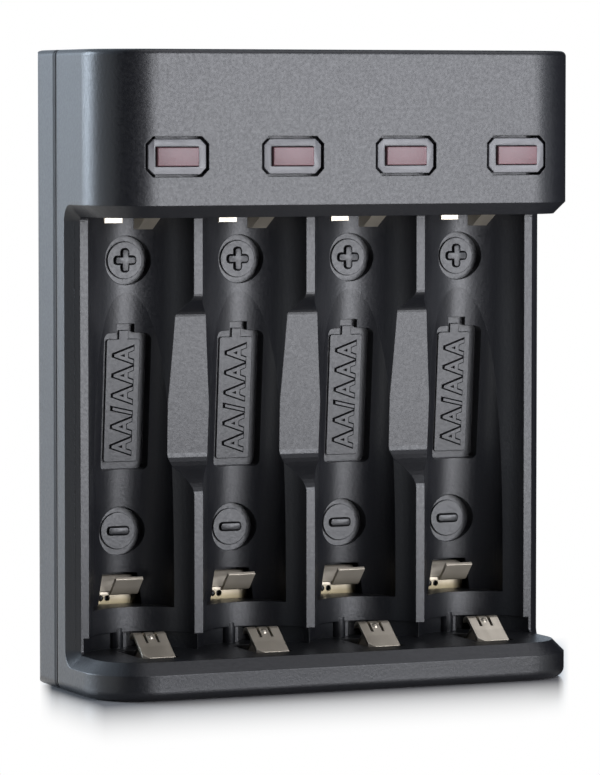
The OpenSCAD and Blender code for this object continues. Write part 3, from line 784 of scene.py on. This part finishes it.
def softbox(name, place, target, width, height, power, colour, turn=0.0):
    """An area lamp that looks at a point, turned about the upright."""
    clear_selection()
    bpy.ops.object.light_add(type="AREA", location=place)
    lamp = bpy.context.object
    lamp.name = name
    lamp.data.shape = "RECTANGLE"
    lamp.data.size = width
    lamp.data.size_y = height
    lamp.data.energy = power
    lamp.data.color = colour
    lamp.visible_camera = False
    facing = (Vector(target) - Vector(place)).to_track_quat("-Z", "Y")
    lamp.rotation_euler = (Quaternion((0, 0, 1), turn) @ facing).to_euler()


def facing_sweep(tree, way):
    """How bright the studio is to glossy surfaces in a direction."""
    level = tree.nodes.new("ShaderNodeVectorMath")
    level.operation = "NORMALIZE"
    dot = tree.nodes.new("ShaderNodeVectorMath")
    dot.operation = "DOT_PRODUCT"
    dot.inputs[1].default_value = SWEEP
    ramp = tree.nodes.new("ShaderNodeValToRGB")
    stops = ramp.color_ramp.elements
    while len(stops) < len(SWEEP_GLOW):
        stops.new(0.5)
    for stop, (at, glow) in zip(stops, SWEEP_GLOW):
        stop.position = at
        stop.color = (glow, glow, glow, 1)
    tree.links.new(way, level.inputs[0])
    tree.links.new(level.outputs["Vector"], dot.inputs[0])
    tree.links.new(remap(tree, dot.outputs["Value"], -1.0, 1.0), ramp.inputs["Fac"])
    return ramp.outputs["Color"]


def shadow_zone(tree, place):
    """How much of the grey paper shows: a painted shade on the floor, most at the front of the
    foot.

    The zone is laid out as seen from the camera's place, so that it ends where the case does.
    """
    at = axes(tree, place)
    across = calc(tree, "SUBTRACT", at["X"], EYE.x)
    along = calc(tree, "SUBTRACT", at["Y"], EYE.y)
    slope = calc(tree, "DIVIDE", across, along)
    front = FRONT_Y - EYE.y
    left = -SIDE_X - EYE.x
    left_end = left / (front + CASE_DEPTH)
    right_end = (SIDE_X - EYE.x) / front
    edge = calc(tree, "MAXIMUM", calc(tree, "DIVIDE", left, slope), front)
    zone = fall(tree, calc(tree, "SUBTRACT", edge, along), 0.0, SHADE_REACH)
    zone = calc(tree, "MULTIPLY", zone, zone)
    for part in (fall(tree, slope, *(left_end + step for step in SHADE_LEFT)),
                 fall(tree, slope, *(right_end + step for step in SHADE_RIGHT)),
                 fall(tree, at["Y"], *SHADE_BACK)):
        zone = calc(tree, "MULTIPLY", zone, part)
    return zone


def seen_directly(tree, path):
    """1 for the camera's own rays and those through glass."""
    return calc(tree, "MAXIMUM", path["Is Camera Ray"], path["Is Transmission Ray"])


def floor_sheet():
    """White paper with a painted shade close in front of the object, where the grey paper also
    takes the object's real shadow and reflection; white elsewhere.
    """
    made, tree, bsdf = shader("floor_paper", SHADE_PAPER_COLOUR, roughness=0.15)
    fibre = noise(tree, scale=60)
    tree.links.new(spread(tree, fibre, 0.12, 0.2), bsdf.inputs["Roughness"])
    place = own_place(tree)
    path = tree.nodes.new("ShaderNodeLightPath").outputs
    glow = tree.nodes.new("ShaderNodeEmission")
    glow.inputs["Color"].default_value = WHITE
    level = calc(tree, "MAXIMUM", seen_directly(tree, path), facing_sweep(tree, place))
    tree.links.new(level, glow.inputs["Strength"])
    mix = tree.nodes.new("ShaderNodeMixShader")
    tree.links.new(shadow_zone(tree, place), mix.inputs["Fac"])
    tree.links.new(glow.outputs["Emission"], mix.inputs[1])
    tree.links.new(bsdf.outputs["BSDF"], mix.inputs[2])
    tree.links.new(mix.outputs["Shader"], tree.nodes["Material Output"].inputs["Surface"])
    return made


def white_room(scene):
    """A world that is white to the camera and through glass.

    Glossy surfaces see the white backdrop and a dim room round it.
    """
    world = bpy.data.worlds.new("studio")
    world.use_nodes = True
    scene.world = world
    tree = world.node_tree
    nodes, links = tree.nodes, tree.links
    soft = nodes["Background"]
    soft.inputs["Color"].default_value = WHITE
    soft.inputs["Strength"].default_value = ROOM_LEVEL
    seen = nodes.new("ShaderNodeBackground")
    seen.inputs["Color"].default_value = WHITE
    mirrored = nodes.new("ShaderNodeBackground")
    mirrored.inputs["Color"].default_value = (*SKY_WHITE, 1)
    way = nodes.new("ShaderNodeTexCoord").outputs["Generated"]
    path = nodes.new("ShaderNodeLightPath").outputs
    inner = nodes.new("ShaderNodeMixShader")
    outer = nodes.new("ShaderNodeMixShader")
    links.new(facing_sweep(tree, way), mirrored.inputs["Strength"])
    links.new(path["Is Glossy Ray"], inner.inputs["Fac"])
    links.new(soft.outputs["Background"], inner.inputs[1])
    links.new(mirrored.outputs["Background"], inner.inputs[2])
    links.new(seen_directly(tree, path), outer.inputs["Fac"])
    links.new(inner.outputs["Shader"], outer.inputs[1])
    links.new(seen.outputs["Background"], outer.inputs[2])
    links.new(outer.outputs["Shader"], nodes["World Output"].inputs["Surface"])


class CHARGER_OT_stage(bpy.types.Operator):
    """Builds the floor, the softboxes and the camera"""

    bl_idname = "charger.stage"
    bl_label = "Build the studio"

    def execute(self, context):
        studio = context.scene.charger_studio
        scene = context.scene
        clear_selection()
        bpy.ops.mesh.primitive_plane_add(size=FLOOR_SIZE)
        floor = name_piece(bpy.context.object, "studio_floor")
        give(floor, floor_sheet())
        white_room(scene)
        softbox("side_softbox", place=(-0.8, 0.72, 0.3), target=CASE_MIDDLE,
                width=0.55, height=0.6, power=studio.side_power, colour=SKY_WHITE)
        softbox("front_softbox", place=(0.23, -0.58, 0.16), target=CASE_MIDDLE,
                width=0.36, height=0.32, power=studio.front_power, colour=LAMP_WHITE)
        # lies on the floor and shines up
        softbox("low_softbox", place=LOW_PLACE, target=(LOW_PLACE.x, LOW_PLACE.y, 1),
                width=0.15, height=0.5, power=studio.low_power, colour=LAMP_WHITE, turn=LOW_TURN)
        softbox("top_softbox", place=(0.22, -0.12, 0.62), target=CASE_MIDDLE,
                width=0.6, height=0.45, power=studio.top_power, colour=LAMP_WHITE)

        bpy.ops.object.camera_add(location=EYE)
        camera = bpy.context.object
        camera.name = "photo_camera"
        camera.data.lens = studio.lens
        camera.data.sensor_width = SENSOR_WIDTH
        camera.data.clip_start = NEAREST
        camera.rotation_euler = LOOK.to_track_quat("-Z", "Y").to_euler()
        scene.camera = camera
        scene.view_settings.view_transform = "Standard"
        return {"FINISHED"}


class CHARGER_PT_panel(bpy.types.Panel):
    """Lists the charger's tools"""

    bl_idname = "CHARGER_PT_panel"
    bl_label = "Cell charger"
    bl_space_type = "VIEW_3D"
    bl_region_type = "UI"
    bl_category = "Charger"

    def draw(self, context):
        scene = context.scene
        for group in (scene.charger_finish, scene.charger_detail, scene.charger_studio):
            for name in group.__annotations__:
                self.layout.prop(group, name)
        for tool in OPERATORS:
            self.layout.operator(tool.bl_idname)


OPERATORS = (CHARGER_OT_case, CHARGER_OT_bezels, CHARGER_OT_lenses, CHARGER_OT_signs,
             CHARGER_OT_labels, CHARGER_OT_contacts, CHARGER_OT_inside, CHARGER_OT_stage)
CLASSES = (FinishSettings, DetailSettings, StudioSettings, *OPERATORS, CHARGER_PT_panel)


def register():
    """Registers the classes and hangs the settings on the scene."""
    for item in CLASSES:
        bpy.utils.register_class(item)
    bpy.types.Scene.charger_finish = PointerProperty(type=FinishSettings)
    bpy.types.Scene.charger_detail = PointerProperty(type=DetailSettings)
    bpy.types.Scene.charger_studio = PointerProperty(type=StudioSettings)


def unregister():
    """Takes the settings and the classes away again."""
    del bpy.types.Scene.charger_studio
    del bpy.types.Scene.charger_detail
    del bpy.types.Scene.charger_finish
    for item in reversed(CLASSES):
        bpy.utils.unregister_class(item)


def main():
    """Runs every tool in order."""
    register()
    bpy.ops.charger.case()
    bpy.ops.charger.bezels()
    bpy.ops.charger.lenses()
    bpy.ops.charger.signs()
    bpy.ops.charger.labels()
    bpy.ops.charger.contacts()
    bpy.ops.charger.inside()
    bpy.ops.charger.stage()


if __name__ == "__main__":
    main()
